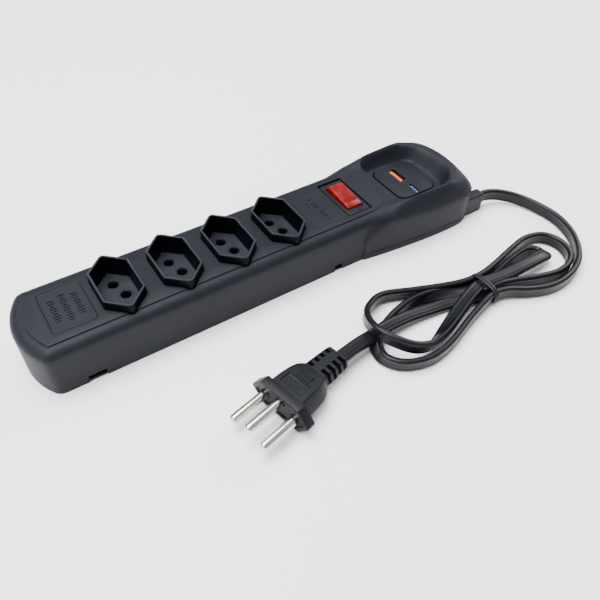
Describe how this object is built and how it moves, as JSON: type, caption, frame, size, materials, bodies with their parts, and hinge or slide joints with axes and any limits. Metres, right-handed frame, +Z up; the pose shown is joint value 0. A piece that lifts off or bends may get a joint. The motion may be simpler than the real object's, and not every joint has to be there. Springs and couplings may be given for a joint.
{
  "type": "power strip",
  "caption": "Corded power strip with recessed hexagonal outlets, a rocker switch, and a phone basin with USB ports; the short flat cord is tied in a bow.",
  "frame": {"origin": "centre of the strip body's footprint on the surface it stands on, without the cord and plug", "axes": "+X along the strip from the label end to the cord end, +Y away from the side where the cord lies, +Z up"},
  "size_m": [0.3057, 0.1363, 0.0332],
  "materials": {
    "housing": "fine-grain charcoal grey",
    "dark_plastic": "satin near-black",
    "cord_jacket": "soft satin PVC",
    "red_lens": "translucent red",
    "orange_plastic": "satin orange",
    "blue_plastic": "satin blue grey",
    "nickel": "bright nickel plate",
    "brass": "stamped brass",
    "steel": "zinc-plated steel",
    "circuit_board": "green solder mask",
    "ferrite": "yellow tape over a ferrite core",
    "lamp_glass": "clear glass",
    "wire_red": "red PVC",
    "wire_blue": "blue PVC",
    "wire_green": "green PVC"
  },
  "bodies": {
    "strip": {"top_housing": "housing", "base_cover": "housing", "usb_faceplate": "housing", "switch_housing": "housing", "outlet_insert_1": "dark_plastic", "outlet_insert_2": "dark_plastic", "outlet_insert_3": "dark_plastic", "outlet_insert_4": "dark_plastic", "cord_clamp": "dark_plastic", "cord_gland": "cord_jacket", "cord_lead": "cord_jacket", "cord_hank": "cord_jacket", "cord_tail": "cord_jacket", "plug_body": "cord_jacket", "cord_tie": "cord_jacket", "usb_a_tongue": "orange_plastic", "usb_c_tongue": "blue_plastic", "usb_capacitor": "blue_plastic", "plug_pin_line": "nickel", "plug_pin_neutral": "nickel", "plug_pin_earth": "nickel", "usb_a_shell": "nickel", "usb_c_shell": "nickel", "live_busbar": "brass", "neutral_busbar": "brass", "earth_busbar": "brass", "switch_terminal_common": "brass", "switch_terminal_on": "brass", "switch_terminal_lamp": "brass", "clamp_screw_1": "steel", "clamp_screw_2": "steel", "housing_screw_1": "steel", "housing_screw_2": "steel", "housing_screw_3": "steel", "housing_screw_4": "steel", "housing_screw_5": "steel", "housing_screw_6": "steel", "usb_board": "circuit_board", "usb_transformer": "ferrite", "neon_lamp": "lamp_glass", "wire_live": "wire_red", "wire_switched": "wire_red", "wire_neutral": "wire_blue", "wire_earth": "wire_green"},
    "rocker": {"rocker": "red_lens", "switch_plunger": "dark_plastic", "plunger_spring": "steel"},
    "contact_bridge": {"contact_bridge": "brass"}
  },
  "joints": [
    {"name": "rocker_hinge", "type": "hinge", "parent": "strip", "child": "rocker", "pos_m": [0.0528, 0, 0.0255], "axis": [-1, 0, 0], "range_deg": [0, 12]},
    {"name": "contact_hinge", "type": "hinge", "parent": "strip", "child": "contact_bridge", "pos_m": [0.0528, 0, 0.0162], "axis": [1, 0, 0], "range_deg": [0, 8]}
  ],
  "couplings": [
    {"joint": "contact_hinge", "follows": "rocker_hinge", "ratio": 0.6666}
  ]
}
